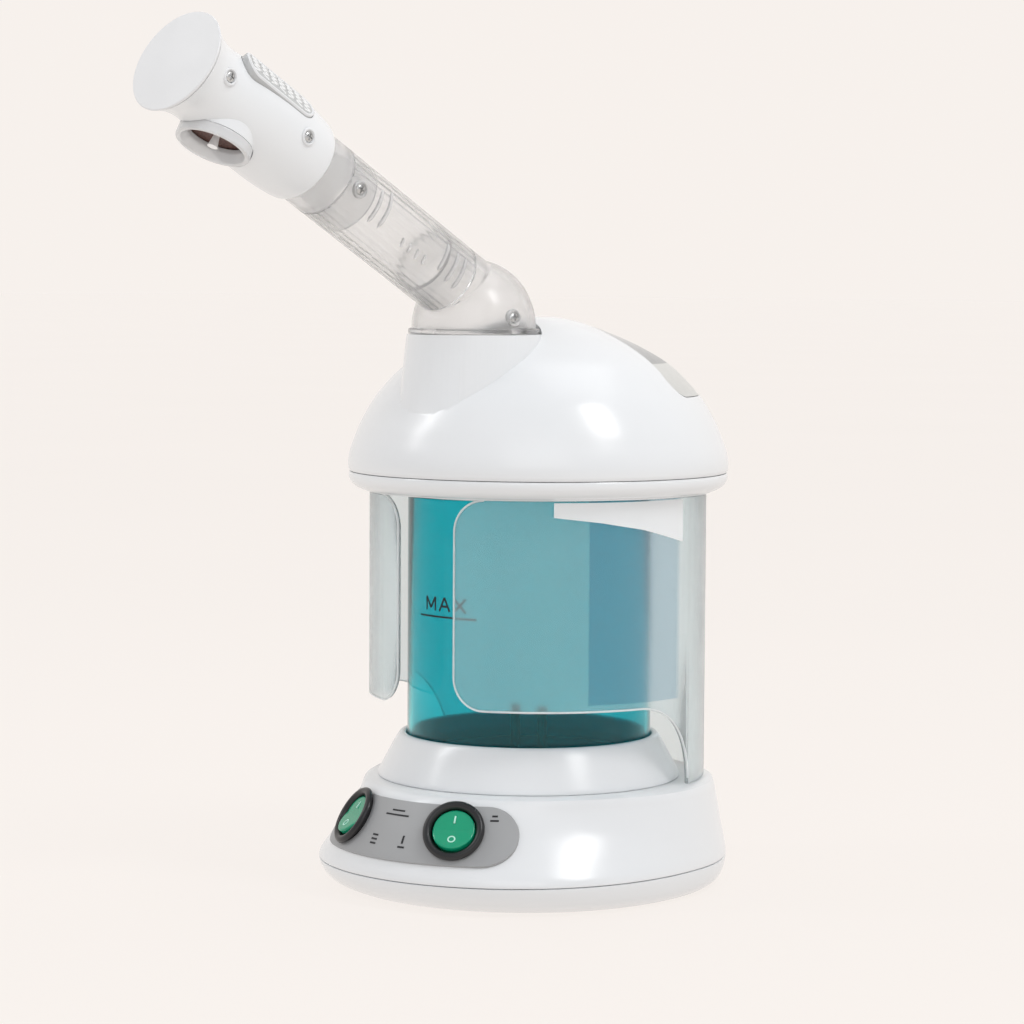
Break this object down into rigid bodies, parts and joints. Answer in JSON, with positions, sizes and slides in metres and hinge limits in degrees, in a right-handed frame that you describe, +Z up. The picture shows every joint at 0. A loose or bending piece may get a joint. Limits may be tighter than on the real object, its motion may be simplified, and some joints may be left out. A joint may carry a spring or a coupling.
{
  "type": "facial steamer",
  "caption": "Tabletop facial steamer: round base with two rocker switches, tinted water jar in a frosted guard, domed lift-off head and a swivelling steam arm.",
  "frame": {"origin": "middle of the base's resting face, on the axis of the dome and guard", "axes": "+Z up, -Y is the front, where the switches are and the arm points"},
  "size_m": [0.1738, 0.3238, 0.3759],
  "materials": {
    "white_gloss": "polished, faint orange peel",
    "panel_grey": "satin grey plate",
    "switch_black": "satin black",
    "rocker_green": "glossy translucent green",
    "steel": "satin stainless",
    "dark_rubber": "matte",
    "dark_metal": "heat-darkened",
    "dark_plastic": "matte moulded",
    "fuse_sleeve": "matte woven sleeve",
    "circuit_board": "solder mask",
    "jar_teal": "clear tinted, glossy",
    "guard_frosted": "frosted translucent",
    "arm_translucent": "milky translucent, glossy",
    "inlay_grey": "silver grey satin",
    "silicone": "soft matte",
    "lamp_glass": "clear quartz",
    "outlet_mesh": "matte brown mesh"
  },
  "bodies": {
    "base": {"base_pan": "white_gloss", "base_housing": "white_gloss", "control_panel": "panel_grey", "switch_bezel_left": "switch_black", "switch_bezel_right": "switch_black", "switch_terminals_left": "switch_black", "switch_terminals_right": "switch_black", "jar_collar": "white_gloss", "heater_plate": "steel", "heating_element": "dark_metal", "thermostat": "steel", "thermal_fuse": "fuse_sleeve", "control_board": "circuit_board", "ion_module": "dark_plastic", "relay": "switch_black", "board_post_1": "dark_plastic", "board_post_2": "dark_plastic", "board_post_3": "dark_plastic", "board_post_4": "dark_plastic", "cord_gland": "dark_rubber", "foot_1": "dark_rubber", "foot_2": "dark_rubber", "foot_3": "dark_rubber", "foot_4": "dark_rubber", "water_jar": "jar_teal", "boiling_dish": "steel", "level_probe_1": "dark_metal", "level_probe_2": "dark_metal"},
    "switch_left": {"switch_rocker_left": "rocker_green"},
    "switch_right": {"switch_rocker_right": "rocker_green"},
    "head": {"jar_guard": "guard_frosted", "dome_cover": "white_gloss", "dome_inlay": "inlay_grey", "head_tray": "white_gloss", "jar_gasket": "silicone", "steam_duct": "silicone", "ozone_lamp": "lamp_glass", "lamp_socket_left": "dark_plastic", "lamp_socket_right": "dark_plastic", "lamp_post_left": "dark_plastic", "lamp_post_right": "dark_plastic"},
    "arm": {"elbow": "arm_translucent", "arm_tube": "arm_translucent", "coupling_ring": "arm_translucent", "elbow_screw": "steel", "tube_screw": "steel"},
    "nozzle": {"nozzle_shell": "white_gloss", "end_cap": "white_gloss", "outlet_ring": "arm_translucent", "outlet_grille": "outlet_mesh", "nozzle_window": "inlay_grey", "nozzle_screw_1": "steel", "nozzle_screw_2": "steel"}
  },
  "joints": [
    {"name": "head_lift", "type": "slide", "parent": "base", "child": "head", "axis": [0, 0, 1], "range_m": [0, 0.13]},
    {"name": "arm_swivel", "type": "hinge", "parent": "head", "child": "arm", "pos_m": [0, -0.0433, 0.246], "axis": [0, 0, 1], "range_deg": [-180, 180]},
    {"name": "nozzle_twist", "type": "hinge", "parent": "arm", "child": "nozzle", "pos_m": [0, -0.05276, 0.26606], "axis": [0, -0.8796, 0.4756], "range_deg": [-90, 90]},
    {"name": "switch_left_tilt", "type": "hinge", "parent": "base", "child": "switch_left", "pos_m": [-0.02934, -0.08629, 0.03452], "axis": [0.8869, -0.462, 0], "range_deg": [0, 16]},
    {"name": "switch_right_tilt", "type": "hinge", "parent": "base", "child": "switch_right", "pos_m": [0.02934, -0.08629, 0.03452], "axis": [0.8869, 0.462, 0], "range_deg": [0, 16]}
  ]
}
